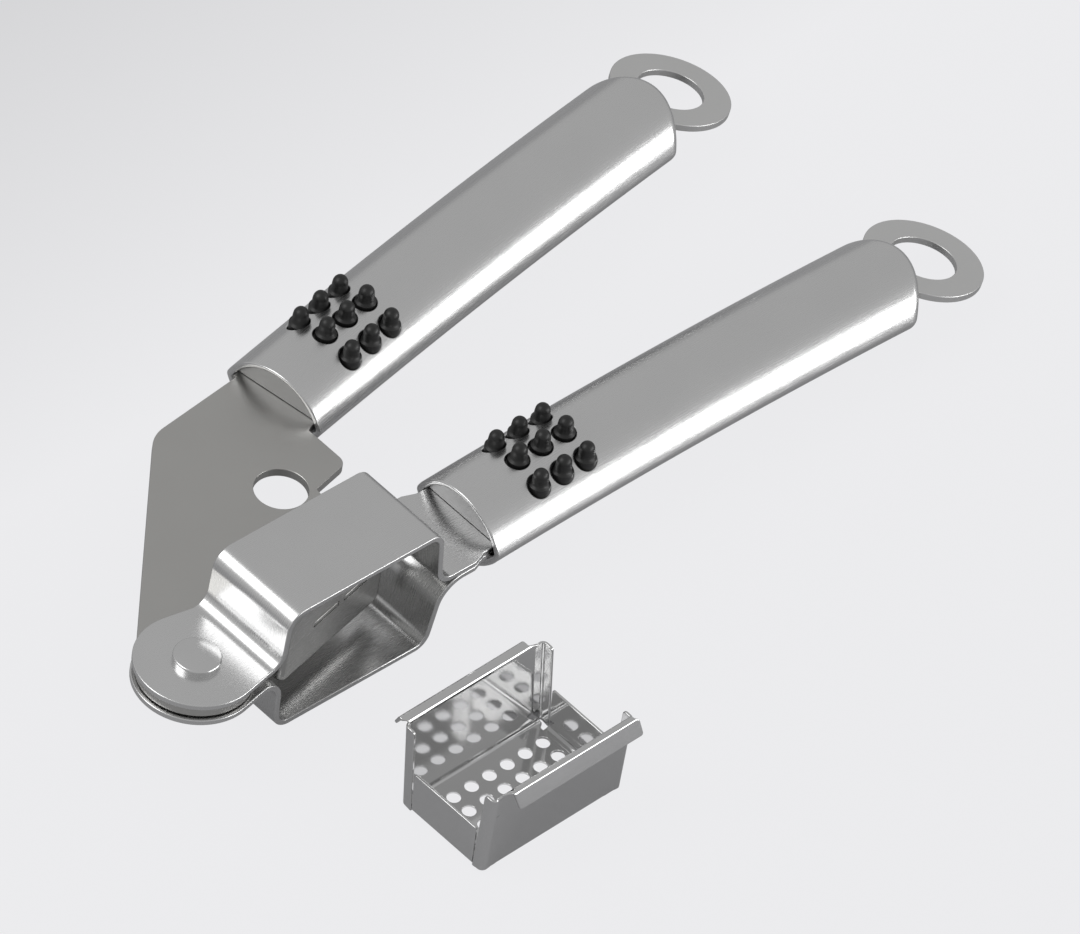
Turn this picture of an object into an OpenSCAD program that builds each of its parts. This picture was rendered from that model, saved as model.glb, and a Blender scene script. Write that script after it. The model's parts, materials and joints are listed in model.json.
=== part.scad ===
// Garlic press with a lift-out sieve basket, lying open on a table.
// Two formed steel straps make the hopper, and a flat plate carries the plunger.
// Both arms end in a hollow oval handle with rubber nubs and a flat hanging ring.
// The press is drawn about its pivot, +X towards the fixed ring, and is then laid down.

/* [Handles] */
// Length of each handle tube, front rim to tail
handle_len = 116; // [80:1:150]
// Width across each handle tube
handle_w = 23.8; // [20:0.2:30]
// Thickness of each handle tube
handle_h = 16.6; // [13:0.2:22]
// How far the middle of a handle arches above its ends
handle_arch = 1.6; // [0.8:0.1:4]
// Wall thickness of the handle tubes
tube_wall = 0.8; // [0.6:0.1:1.2]
// Radius of the rounded tail, seen from above
tail_r = 17.5; // [15:0.5:30]
// Pivot to the front rim of the fixed handle
fixed_front = 67.6; // [66:0.2:90]
// Pivot to the front rim of the moving handle
press_front = 66.6; // [66:0.2:90]
// Sideways offset of the moving handle from the pivot
press_offset = 35.4; // [35:0.2:44]
// How far the closed handles lean together, in degrees
handle_toe = 3; // [1:0.1:3.2]
// How far the press stands open, in degrees
open_angle = 11.8; // [5:0.1:40]

/* [Hanging rings] */
// Outer radius of a hanging ring
ring_r = 12.4; // [10:0.1:12.6]
// Radius of the hanging hole
ring_hole_r = 6.8; // [4:0.1:8]
// Sheet thickness of a ring
ring_t = 1.5; // [1:0.1:2.5]
// How far a ring droops below its handle, in degrees
ring_droop = 14.5; // [5:0.1:18]
// Tail of the tube to the middle of the ring
ring_reach = 7.2; // [6.8:0.1:14]
// Height of a ring's sheet above the handle's middle where it leaves the tail
ring_level = 2.3; // [-2:0.1:2.6]
// Width of the tongue that holds a ring in its handle
tongue_w = 13; // [8:0.5:16]

/* [Hopper] */
// Width of the two straps
strap_w = 21.8; // [19:0.2:30]
// Sheet thickness of the straps
strap_t = 1.3; // [1:0.1:1.8]
// Height of the hopper over both straps
hopper_h = 30.8; // [29:0.2:38]
// Pivot to the near wall of the hopper
hopper_near = 12.1; // [11.5:0.1:14]
// Length of the hopper outside, near wall to far wall at the flats
hopper_len = 40.2; // [36:0.2:42]
// Lean of the far wall, as run towards the handle from flat to tang
far_wall_run = 3.7; // [2:0.1:5]
// Radius of the eye around the pivot
eye_r = 12.4; // [10:0.1:13]
// Bend radius of the straps along the middle of the sheet
bend_r = 3.1; // [2.2:0.1:3.6]
// Width of the tangs where they enter the handles
tang_w = 19.6; // [16:0.2:20]
// Width of the tangs inside the handles
tang_in = 14; // [10:0.5:15]
// Length of the tangs inside the handles
tang_len = 26; // [16:1:32]

/* [Plunger] */
// Thickness of the press plate
plate_t = 2.0; // [1.6:0.1:2.4]
// Gap beside the plate at the pivot, filled by a washer
side_gap = 0.35; // [0.3:0.05:0.6]
// Pivot to the pressing face of the plunger foot
face_drop = 9.8; // [9:0.1:10]
// Length of the plunger foot
foot_len = 32.3; // [28:0.1:33]
// Width of the plunger foot
foot_w = 20; // [16:0.2:21]
// Sheet thickness of the plunger foot
foot_t = 1.5; // [1.2:0.1:2]
// Pivot to the near end of the plunger foot
foot_near = 15.9; // [15.6:0.1:17]
// Radius of the round hole in the press plate
plate_hole_r = 5.4; // [3:0.1:5.6]

/* [Pivot rivet] */
// Radius of the rivet shank
shank_r = 3; // [2.5:0.1:4]
// Radius of the rivet heads
head_r = 4.8; // [4.4:0.1:6]
// Height of a rivet head
head_h = 2.0; // [1.2:0.1:3]

/* [Rubber nubs] */
// Distance between nubs along a handle
nub_pitch_x = 6.0; // [5.2:0.1:8]
// Distance between nubs across a handle
nub_pitch_y = 6.4; // [5.2:0.1:6.6]
// Radius of a nub
nub_r = 1.65; // [1.2:0.05:2]
// Height of a nub above the steel
nub_h = 4.4; // [2:0.1:6]
// Front rim of the handle to the middle nub
nub_x = 20.6; // [16:0.2:24]

/* [Sieve basket] */
// Length of the basket floor
basket_len = 36; // [34:0.2:37]
// Width of the basket floor
basket_w = 23.1; // [22.4:0.1:24]
// Height of the basket with its lips
basket_h = 22.2; // [20:0.1:23]
// Sheet thickness of the basket
basket_t = 0.6; // [0.4:0.1:0.8]
// How far each long wall leans outward at the top
basket_flare = 1.5; // [0.5:0.1:1.8]
// Height of the two short walls
short_wall_h = 10.6; // [8:0.1:12]
// Radius of the sieve holes
sieve_hole_r = 1.4; // [0.8:0.05:1.7]
// Hole spacing along the basket
sieve_pitch_x = 4.6; // [4:0.1:4.8]
// Hole spacing across the basket
sieve_pitch_y = 4.4; // [4:0.1:5]
// Basket's near corner on the table, measured from the pivot
basket_x = 19.8; // [10:0.5:60]
// Gap on the table between hopper and basket
basket_gap = 27.6; // [20:0.5:60]

/* [Hidden] */
steel = "silver";
bright_steel = "gainsboro";
rubber = "dimgray";
plastic = "darkslategray";
big = 200;                    // reach of the cutting blocks
close_fit = 0.05;             // parts that seat in each other
loose_fit = 0.1;              // rubber and moulded parts in the tubes
clear = 0.3;                  // moving sheet past fixed sheet
round_fn = 72;
sweep_fn = 900;
arc_steps = 6;                // straight steps in each sheet bend

// Handle section: two arcs that meet along the sides
lens_r = (handle_w * handle_w / 4 + handle_h * handle_h / 4) / handle_h;
lens_c = lens_r - handle_h / 2;
arch_r = (handle_len * handle_len / 4 + handle_arch * handle_arch) / (2 * handle_arch);
arch_half = asin(handle_len / 2 / arch_r);
tail_c = handle_len - tail_r;

// Pads and plugs inside the handles
cap_inset = 1.0;
cap_t = 1.2;
rear_cap_t = 3;
rear_inset = 0.6;
pad_t = 1.4;
pad_margin = 3.2;
collar_r = nub_r + 0.55;
collar_proud = 0.3;
pad_inset = tube_wall + loose_fit;
core_inset = pad_inset + pad_t + loose_fit;
core_len = nub_x + nub_pitch_x + pad_margin + 2;
tongue_len = ring_reach + 10;
ring_z = ring_level - ring_reach * tan(ring_droop);

// Strap profile, along the middle of the sheet
half_h = hopper_h / 2;
flat_z = half_h - strap_t / 2;
eye_z = plate_t / 2 + side_gap + strap_t / 2;
tang_z = strap_t / 2;
near_mid = hopper_near + strap_t / 2;
far_mid = hopper_near + hopper_len - strap_t / 2;
near_lean = 0.3;
neck_x = 9;
overlap = 0.02;               // lets outlines that only touch run into each other
tang_start = fixed_front - 2;
tang_step = fixed_front + cap_inset + cap_t;
tang_end = fixed_front + tang_len;
washer_t = side_gap - close_fit;
washer_r = head_r + 0.8;
bore_gap = 0.05;

// Press plate, drawn in the closed position
boss_r = eye_r - 0.8;
plate_edge = strap_w / 2 + clear;
shoulder_x = hopper_near + hopper_len + far_wall_run - 1.7;
edge_slope = 33.4;            // direction of the long outer edge
plate_top = 9.2;              // plate's outer edge beyond the moving handle's axis
top_corner_x = 24;            // where along X the plate's top edge starts
hole_pos = [shoulder_x - 4.7, plate_edge + 5.1];
notch_y = short_wall_h - strap_w / 2 + 1.2;
tenon_len = 7.8;
tenon_x = [foot_near + 9.3, foot_near + 19.1];
foot_back = -face_drop + foot_t;

// Basket, and how it hooks on the straps
post_w = 3.2;
lip_out = 3.2;
lip_drop = 1.9;
lip_short = 1.5;
sunk = 0.1;                   // how far end walls and posts start inside the floor sheet
hole_cols = floor((basket_len - 6) / sieve_pitch_x) + 1;
hole_rows = floor((basket_w - 7) / sieve_pitch_y) + 1;

// Lying down: the far bend of the lower strap and the lowest of tube tail and ring touch the table
bend_out = bend_r + strap_t / 2;
bend_x = far_mid - bend_r * 0.87;
bend_z = -flat_z + bend_r;
tail_low = [fixed_front + handle_len, -handle_h / 2];
ring_low = [fixed_front + handle_len + ring_reach + ring_r * cos(ring_droop) - ring_t / 2 * sin(ring_droop),
    ring_z - ring_r * sin(ring_droop) - ring_t / 2 * cos(ring_droop)];
function slope_to(p) = atan2(p[1] - bend_z, p[0] - bend_x) + asin(bend_out / norm(p - [bend_x, bend_z]));
lay_angle = min(slope_to(tail_low), slope_to(ring_low));
function depth_of(p) = p[0] * sin(lay_angle) - p[1] * cos(lay_angle);
pivot_z = max(depth_of(tail_low), depth_of(ring_low), depth_of([bend_x, bend_z]) + bend_out);

// The middle of the whole object's footprint is the origin
ring_dir = open_angle - handle_toe;
ring_far = press_front + handle_len + ring_reach;
basket_y = -strap_w / 2 - basket_gap;
lowest_y = basket_y - basket_w - basket_flare - lip_out + basket_t;
highest_y = ring_far * sin(ring_dir) + press_offset * cos(ring_dir) + ring_r;
left_x = -eye_r * cos(lay_angle) - (eye_z + strap_t / 2) * sin(lay_angle);
right_x = (ring_low[0] + ring_t * sin(ring_droop)) * cos(lay_angle) + ring_low[1] * sin(lay_angle);
pivot_x = -(left_x + right_x) / 2;
pivot_y = -(lowest_y + highest_y) / 2;

// Small helpers

function unit(v) = v / norm(v);

function left_of(v) = [-v[1], v[0]];

// Points of the arc that rounds the corner p between a and b
function corner(a, p, b, r) =
    let (ua = unit(a - p), ub = unit(b - p))
    let (half = acos(ua * ub) / 2)
    let (middle = p + unit(ua + ub) * r / sin(half))
    let (from = p + ua * r / tan(half) - middle, to = p + ub * r / tan(half) - middle)
    let (start = atan2(from[1], from[0]), swing = atan2(to[1], to[0]) - start)
    let (turn = swing > 180 ? swing - 360 : swing < -180 ? swing + 360 : swing)
    [for (i = [0:arc_steps]) let (a = start + turn * i / arc_steps) middle + r * [cos(a), sin(a)]];

// An open path with its inner corners rounded
function rounded(path, r) = concat([path[0]],
    [for (i = [1:len(path) - 2]) each corner(path[i - 1], path[i], path[i + 1], r)],
    [path[len(path) - 1]]);

// Sideways direction at each point of a path, long enough to keep the sheet's thickness
function side_at(path, i) =
    let (before = unit(path[max(i, 1)] - path[max(i, 1) - 1]))
    let (after = unit(path[min(i, len(path) - 2) + 1] - path[min(i, len(path) - 2)]))
    let (mean = unit(before + after))
    left_of(mean) / (mean * before);

// The other half of an outline that is the same on both sides of X
function mirrored(half) = [for (i = [len(half) - 1:-1:0]) [half[i][0], -half[i][1]]];

// A strip of sheet t thick along a path
module strip(path, t) {
    left = [for (i = [0:len(path) - 1]) path[i] + side_at(path, i) * t / 2];
    right = [for (i = [len(path) - 1:-1:0]) path[i] - side_at(path, i) * t / 2];
    polygon(concat(left, right));
}

// Stands a drawing in X and Z up, and gives it a width along Y
module across(width) {
    rotate([90, 0, 0]) linear_extrude(width, center = true) children();
}

module laid_down() {
    translate([pivot_x, pivot_y, pivot_z]) rotate([0, lay_angle, 0]) children();
}

module opened() {
    laid_down() rotate(open_angle) children();
}

module at_fixed_handle() {
    laid_down() translate([fixed_front, 0, 0]) children();
}

module at_press_handle() {
    opened() rotate(-handle_toe) translate([press_front, press_offset, 0]) children();
}

// handle parts, from the front rim along +X

function square_of(v) = v * v;

function arch_z(x) = sqrt(square_of(arch_r) - square_of(x - handle_len / 2)) - arch_r * cos(arch_half);

function steel_top(x, y) = arch_z(x) + sqrt(lens_r * lens_r - y * y) - lens_c;

// The oval section, shrunk by inset, swept along the arch
module arched(inset) {
    translate([handle_len / 2, 0, -arch_r * cos(arch_half)]) rotate([90, 0, 0])
        rotate_extrude(angle = 2 * arch_half, start = 90 - arch_half, $fn = sweep_fn)
            translate([arch_r, 0]) intersection() {
                translate([-lens_c, 0]) circle(lens_r - inset, $fn = round_fn);
                translate([lens_c, 0]) circle(lens_r - inset, $fn = round_fn);
            }
}

module slab(from, to) {
    translate([from, -big / 2, -big / 2]) cube([to - from, big, big]);
}

// Plan of the tube with its rounded tail, pulled in by inset
module tail_plan(inset) {
    linear_extrude(big, center = true) {
        translate([-1, -big / 2]) square([tail_c + 1, big]);
        translate([tail_c, 0]) circle(tail_r - inset, $fn = 2 * round_fn);
    }
}

module nub_places() {
    for (i = [-1:1]) for (j = [-1:1]) translate([nub_x + i * nub_pitch_x, j * nub_pitch_y, 0])
        rise(nub_x + i * nub_pitch_x, j * nub_pitch_y) children();
}

module rise(x, y) {
    translate([0, 0, steel_top(x, y)]) children();
}

module tube() {
    color(steel) difference() {
        intersection() {
            arched(0);
            tail_plan(0);
        }
        arched(tube_wall);
        nub_places() cylinder(r = collar_r + loose_fit, h = 10, center = true, $fn = round_fn);
    }
}

module tang_slot(width, thickness) {
    cube([4 * tang_len, width + 2 * close_fit, thickness + 2 * close_fit], center = true);
}

module front_cap(thickness) {
    color(bright_steel) difference() {
        intersection() {
            arched(tube_wall + close_fit);
            slab(cap_inset, cap_inset + cap_t);
        }
        tang_slot(tang_w, thickness);
    }
}

module rear_cap() {
    color(steel) difference() {
        intersection() {
            arched(tube_wall + close_fit);
            tail_plan(rear_inset);
        }
        translate([-rear_cap_t, 0, 0]) tail_plan(rear_inset);
        at_ring() {
            cube([big, tongue_w + 2 * close_fit, ring_t + 2 * close_fit], center = true);
            cylinder(r = ring_r + close_fit, h = ring_t + 2 * close_fit, center = true, $fn = round_fn);
        }
    }
}

module core(thickness) {
    color(plastic) difference() {
        intersection() {
            arched(core_inset);
            slab(cap_inset + cap_t + close_fit, core_len);
        }
        tang_slot(tang_in, thickness);
    }
}

module grip_pad() {
    pad_x = 2 * (nub_pitch_x + pad_margin);
    pad_y = 2 * (nub_pitch_y + pad_margin) - 1.4;
    pad_floor = arch_z(nub_x + pad_x / 2) - 0.4;
    color(rubber) {
        difference() {
            intersection() {
                arched(pad_inset);
                translate([nub_x, 0, pad_floor + handle_h / 2])
                    cube([pad_x, pad_y, handle_h], center = true);
            }
            arched(pad_inset + pad_t);
        }
        nub_places() nub();
    }
}

module nub() {
    root = tube_wall + loose_fit + pad_t / 2;
    translate([0, 0, -root]) cylinder(r = collar_r, h = root + collar_proud, $fn = round_fn);
    cylinder(r = nub_r, h = nub_h - nub_r, $fn = round_fn);
    translate([0, 0, nub_h - nub_r]) sphere(nub_r, $fn = round_fn);
}

module at_ring() {
    translate([handle_len + ring_reach, 0, ring_z]) rotate([0, ring_droop, 0]) children();
}

module hang_ring() {
    color(steel) at_ring() linear_extrude(ring_t, center = true) difference() {
        union() {
            circle(ring_r, $fn = round_fn);
            translate([-tongue_len, -tongue_w / 2]) square([tongue_len, tongue_w]);
        }
        circle(ring_hole_r, $fn = round_fn);
    }
}

// hopper

module strap() {
    path = rounded([[-eye_r - 1, eye_z], [near_mid - near_lean, eye_z], [near_mid + near_lean, flat_z],
        [far_mid, flat_z], [far_mid + far_wall_run, tang_z], [tang_end, tang_z]], bend_r);
    color(steel) difference() {
        intersection() {
            across(big) strip(path, strap_t);
            strap_plan();
        }
        cylinder(r = shank_r + bore_gap, h = big, center = true, $fn = round_fn);
    }
}

module strap_plan() {
    side = strap_w / 2;
    tuck = tang_w / 2;
    touch = acos(eye_r / norm([neck_x, side])) + atan2(side, neck_x);
    flank = (eye_r - overlap) * [cos(touch), sin(touch)];
    half = [flank, [neck_x, side], [tang_start - 3, side], [tang_start, tuck], [tang_step, tuck],
        [tang_step, tang_in / 2], [tang_end, tang_in / 2]];
    cylinder(r = eye_r, h = big, center = true, $fn = round_fn);
    linear_extrude(big, center = true) polygon(concat(half, mirrored(half)));
}

module rivet_head() {
    dome = head_h * 0.45;
    dome_r = (head_r * head_r + dome * dome) / (2 * dome);
    intersection() {
        cylinder(r = head_r, h = head_h, $fn = round_fn);
        translate([0, 0, head_h - dome_r]) sphere(dome_r, $fn = 2 * round_fn);
    }
}

module washer() {
    color(bright_steel) translate([0, 0, plate_t / 2 + close_fit]) difference() {
        cylinder(r = washer_r, h = washer_t, $fn = round_fn);
        translate([0, 0, -1]) cylinder(r = shank_r + bore_gap, h = washer_t + 2, $fn = round_fn);
    }
}

// press plate and foot, drawn closed

module plate_outline() {
    along = [cos(handle_toe), -sin(handle_toe)];
    toe = function(p) p[0] * along + p[1] * left_of(along);
    edge = [cos(edge_slope), sin(edge_slope)];
    tangent = (boss_r - overlap) * left_of(edge);
    tuck = tang_w / 2;
    front = press_front - 0.6;
    step = press_front + cap_inset + cap_t;
    end = press_front + tang_len;
    tang = [[front, tuck], [step, tuck], [step, tang_in / 2], [end, tang_in / 2]];
    top = toe([front, press_offset + plate_top]);
    run = (top[1] + (top[0] - top_corner_x) * tan(handle_toe) - tangent[1]) / edge[1];
    outer = tangent + edge * run;
    low = toe([front - 1, press_offset - plate_top - 1]);
    polygon(concat([[0, 0], tangent], corner(tangent, outer, top, 8), [top],
        [for (p = concat(tang, mirrored(tang))) toe([p[0], press_offset + p[1]])], [low],
        corner(low, [low[0] - 2.2, plate_edge], [shoulder_x, plate_edge], 2.4),
        [[shoulder_x, plate_edge], [foot_near + foot_len - 0.4, foot_back], [foot_near, foot_back],
        [foot_near, notch_y], [0, notch_y]]));
}

// sieve basket, floor on the table, from its near corner

// Floor, long walls and hooked lips: one strip bent in Y and Z
module trough(len_x, with_lip) {
    top = basket_h - basket_t / 2;
    low = basket_t / 2;
    wall = basket_w / 2 - basket_t / 2;
    out = wall + basket_flare;
    tip = [out + lip_out - basket_t, top - lip_drop];
    right = with_lip ? [[out, top], [out + 0.45 * lip_out, top], tip] : [[out, top]];
    left = [for (i = [len(right) - 1:-1:0]) [-right[i][0], right[i][1]]];
    rotate([90, 0, 90]) linear_extrude(len_x)
        strip(rounded(concat(left, [[-wall, low], [wall, low]], right), with_lip ? 0.8 : 0.9), basket_t);
}

module post_face(inset) {
    low = basket_w / 2 - inset;
    high = low + basket_flare;
    top = basket_h - 1;
    for (s = [-1, 1])
        polygon([[s * low, sunk], [s * high, top], [s * (high - post_w), top], [s * (low - post_w), sunk]]);
}

module basket_solid() {
    foot = basket_w / 2 - basket_t + 0.18;
    head = foot + 0.4;
    start_x = (basket_len - (hole_cols - 1) * sieve_pitch_x) / 2;
    start_y = -(hole_rows - 1) / 2 * sieve_pitch_y;
    difference() {
        union() {
            trough(basket_len, false);
            translate([lip_short, 0, 0]) trough(basket_len - 2 * lip_short, true);
            for (x = [0, basket_len - basket_t]) translate([x, 0, 0]) rotate([90, 0, 90])
                linear_extrude(basket_t) {
                    post_face(basket_t / 2);
                    polygon([[-foot, sunk], [foot, sunk], [head, short_wall_h], [-head, short_wall_h]]);
                }
        }
        for (i = [0:hole_cols - 1]) for (j = [0:hole_rows - 1])
            translate([start_x + i * sieve_pitch_x, start_y + j * sieve_pitch_y, -1])
                cylinder(r = sieve_hole_r, h = basket_t + 2, $fn = 24);
    }
}

// nodes

module hopper_upper_strap() {
    laid_down() strap();
}

module hopper_lower_strap() {
    laid_down() mirror([0, 0, 1]) strap();
}

module pivot_rivet() {
    top = eye_z + strap_t / 2;
    color(bright_steel) laid_down() {
        cylinder(r = shank_r, h = 2 * top + 1, center = true, $fn = round_fn);
        translate([0, 0, top]) rivet_head();
        mirror([0, 0, 1]) translate([0, 0, top]) rivet_head();
    }
}

module pivot_washer_upper() {
    laid_down() washer();
}

module pivot_washer_lower() {
    laid_down() mirror([0, 0, 1]) washer();
}

module fixed_handle_tube() {
    at_fixed_handle() tube();
}

module fixed_handle_front_cap() {
    at_fixed_handle() front_cap(2 * strap_t);
}

module fixed_handle_rear_cap() {
    at_fixed_handle() rear_cap();
}

module fixed_handle_core() {
    at_fixed_handle() core(2 * strap_t);
}

module fixed_handle_grip_pad() {
    at_fixed_handle() grip_pad();
}

module fixed_handle_hang_ring() {
    at_fixed_handle() hang_ring();
}

module press_plate() {
    color(steel) opened() difference() {
        union() {
            cylinder(r = boss_r, h = plate_t, center = true, $fn = round_fn);
            linear_extrude(plate_t, center = true) plate_outline();
            for (x = tenon_x) translate([x, -face_drop, -plate_t / 2]) cube([tenon_len, foot_t + 1, plate_t]);
        }
        cylinder(r = shank_r + bore_gap, h = big, center = true, $fn = round_fn);
        translate(hole_pos) cylinder(r = plate_hole_r, h = big, center = true, $fn = round_fn);
    }
}

module plunger_foot() {
    color(steel) opened() difference() {
        translate([foot_near, -face_drop, -foot_w / 2]) cube([foot_len, foot_t, foot_w]);
        for (x = tenon_x) translate([x - close_fit, -face_drop - 1, -plate_t / 2 - close_fit])
            cube([tenon_len + 2 * close_fit, foot_t + 2, plate_t + 2 * close_fit]);
    }
}

module press_handle_tube() {
    at_press_handle() tube();
}

module press_handle_front_cap() {
    at_press_handle() front_cap(plate_t);
}

module press_handle_rear_cap() {
    at_press_handle() rear_cap();
}

module press_handle_core() {
    at_press_handle() core(plate_t);
}

module press_handle_grip_pad() {
    at_press_handle() grip_pad();
}

module press_handle_hang_ring() {
    at_press_handle() hang_ring();
}

module sieve_basket() {
    color(bright_steel) translate([pivot_x + basket_x, pivot_y + basket_y - basket_w / 2, 0]) basket_solid();
}

hopper_upper_strap();
hopper_lower_strap();
pivot_rivet();
pivot_washer_upper();
pivot_washer_lower();
fixed_handle_tube();
fixed_handle_front_cap();
fixed_handle_rear_cap();
fixed_handle_core();
fixed_handle_grip_pad();
fixed_handle_hang_ring();
press_plate();
plunger_foot();
press_handle_tube();
press_handle_front_cap();
press_handle_rear_cap();
press_handle_core();
press_handle_grip_pad();
press_handle_hang_ring();
sieve_basket();
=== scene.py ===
import json
import math

import bpy
import numpy as np
from mathutils import Matrix, Vector
from mathutils.geometry import delaunay_2d_cdt


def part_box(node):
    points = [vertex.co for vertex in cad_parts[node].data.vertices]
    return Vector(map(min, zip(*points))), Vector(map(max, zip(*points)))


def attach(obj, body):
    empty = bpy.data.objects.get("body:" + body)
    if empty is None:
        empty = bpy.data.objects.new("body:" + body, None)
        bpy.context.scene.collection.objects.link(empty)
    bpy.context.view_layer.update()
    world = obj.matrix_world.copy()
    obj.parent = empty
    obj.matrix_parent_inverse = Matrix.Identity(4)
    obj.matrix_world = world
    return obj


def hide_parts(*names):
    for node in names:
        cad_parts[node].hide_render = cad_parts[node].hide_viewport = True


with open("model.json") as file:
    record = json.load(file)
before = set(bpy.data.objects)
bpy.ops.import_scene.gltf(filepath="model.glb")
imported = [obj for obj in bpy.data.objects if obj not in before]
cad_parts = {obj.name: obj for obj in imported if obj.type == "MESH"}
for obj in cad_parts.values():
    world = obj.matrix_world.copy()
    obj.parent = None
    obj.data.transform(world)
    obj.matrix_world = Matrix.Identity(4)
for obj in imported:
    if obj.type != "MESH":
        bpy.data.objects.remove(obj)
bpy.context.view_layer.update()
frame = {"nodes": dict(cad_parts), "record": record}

# sizes are in millimetres; the press is drawn about its pivot, X along the fixed handle, Z up
mm = 0.001
press = {"open": 11.8, "toe": 3.0, "fixedFront": 67.6, "pressFront": 66.6, "pressOffset": 35.4}


def turnZ(degrees):
    return np.array(Matrix.Rotation(math.radians(degrees), 3, "Z"))


def turnY(degrees):
    return np.array(Matrix.Rotation(math.radians(degrees), 3, "Y"))


hinge = next(j for j in frame["record"]["behaviour"]["joints"] if j["type"] == "hinge")
hingeAxis = np.array(hinge["axis"], float)
pivot = np.array(hinge["pos_m"], float) / mm
layAngle = math.degrees(math.atan2(hingeAxis[0], hingeAxis[2]))
lay = turnY(layAngle)
opened = lay @ turnZ(press["open"])
pressHandle = opened @ turnZ(-press["toe"])
fixedRoot, movingRoot = (lay, np.zeros(3)), (opened, np.zeros(3))
fixedFrame = (lay, np.array([press["fixedFront"], 0.0, 0.0]))
movingFrame = (pressHandle, np.array([press["pressFront"], press["pressOffset"], 0.0]))


def placed(points, frameOf):
    turn, offset = frameOf
    return ((points + offset) @ turn.T + pivot) * mm


view = {"turn": 48.98, "rise": 44.21, "roll": 9.5, "scale": 5.26, "right": 65.52, "up": 38.48,
        "distance": 4.0}
picture = (1080, 934)


def makeCamera():
    turn, rise, roll = (math.radians(view[k]) for k in ("turn", "rise", "roll"))
    across = np.array([math.cos(turn), -math.sin(turn), 0])
    over = np.array([math.sin(turn) * math.sin(rise), math.cos(turn) * math.sin(rise), math.cos(rise)])
    right = lay @ (math.cos(roll) * across + math.sin(roll) * over)
    up = lay @ (-math.sin(roll) * across + math.cos(roll) * over)
    back = np.cross(right, up)
    aim = pivot * mm + right * view["right"] * mm + up * view["up"] * mm
    data = bpy.data.cameras.new("Camera")
    data.sensor_width = 36
    data.lens = 36 * view["distance"] / (picture[0] / view["scale"] * mm)
    data.clip_start, data.clip_end = 0.1, 20
    cam = bpy.data.objects.new("Camera", data)
    spot = aim + back * view["distance"]
    cam.matrix_world = Matrix([[right[i], up[i], back[i], spot[i]] for i in range(3)] + [[0, 0, 0, 1]])
    bpy.context.scene.collection.objects.link(cam)
    bpy.context.scene.camera = cam


makeCamera()
print("camera ready")


def signedArea(loop):
    x, y = loop[:, 0], loop[:, 1]
    return 0.5 * np.sum(x * np.roll(y, -1) - np.roll(x, -1) * y)


def loopNormals(loop, closed):
    # outward side of each point, with the material on the left of the way along
    if closed:
        ahead = np.roll(loop, -1, 0) - loop
        behind = loop - np.roll(loop, 1, 0)
    else:
        ahead = np.vstack([loop[1:] - loop[:-1], loop[-1:] - loop[-2:-1]])
        behind = np.vstack([loop[1:2] - loop[:1], loop[1:] - loop[:-1]])
    ahead /= np.linalg.norm(ahead, axis=1)[:, None] + 1e-12
    behind /= np.linalg.norm(behind, axis=1)[:, None] + 1e-12
    along = ahead + behind
    along /= np.linalg.norm(along, axis=1)[:, None] + 1e-12
    stretch = 1 / np.maximum(np.sum(along * ahead, axis=1), 0.6)
    return np.stack([along[:, 1], -along[:, 0]], 1), stretch


def insideLoop(points, loop):
    x, y = points[:, 0], points[:, 1]
    x1, y1 = loop[:, 0], loop[:, 1]
    x2, y2 = np.roll(x1, -1), np.roll(y1, -1)
    result = np.zeros(len(points), bool)
    for a, b, c, d in zip(x1, y1, x2, y2):
        if b == d:
            continue
        crossing = ((b > y) != (d > y)) & (x < (c - a) * (y - b) / (d - b) + a)
        result ^= crossing
    return result


def nearLoop(points, loop, distance):
    close = np.zeros(len(points), bool)
    for start in range(0, len(points), 400):
        part = points[start:start + 400]
        gap = part[:, None, :] - loop[None, :, :]
        close[start:start + 400] = np.min(np.sum(gap * gap, 2), 1) < distance * distance
    return close


def newMesh(name, points, faces, normals, uv, material, body):
    mesh = bpy.data.meshes.new(name)
    mesh.from_pydata([tuple(p) for p in points], [], [tuple(int(i) for i in f) for f in faces])
    mesh.update()
    layer = mesh.uv_layers.new(name="sheet")
    corners = np.zeros(len(mesh.loops), np.int32)
    mesh.loops.foreach_get("vertex_index", corners)
    layer.data.foreach_set("uv", np.asarray(uv, np.float32)[corners].ravel())
    mesh.polygons.foreach_set("use_smooth", np.ones(len(mesh.polygons), bool))
    mesh.normals_split_custom_set_from_vertices([tuple(n) for n in normals])
    mesh.materials.append(material)
    obj = bpy.data.objects.new(name, mesh)
    bpy.context.scene.collection.objects.link(obj)
    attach(obj, body)
    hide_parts(name)


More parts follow.
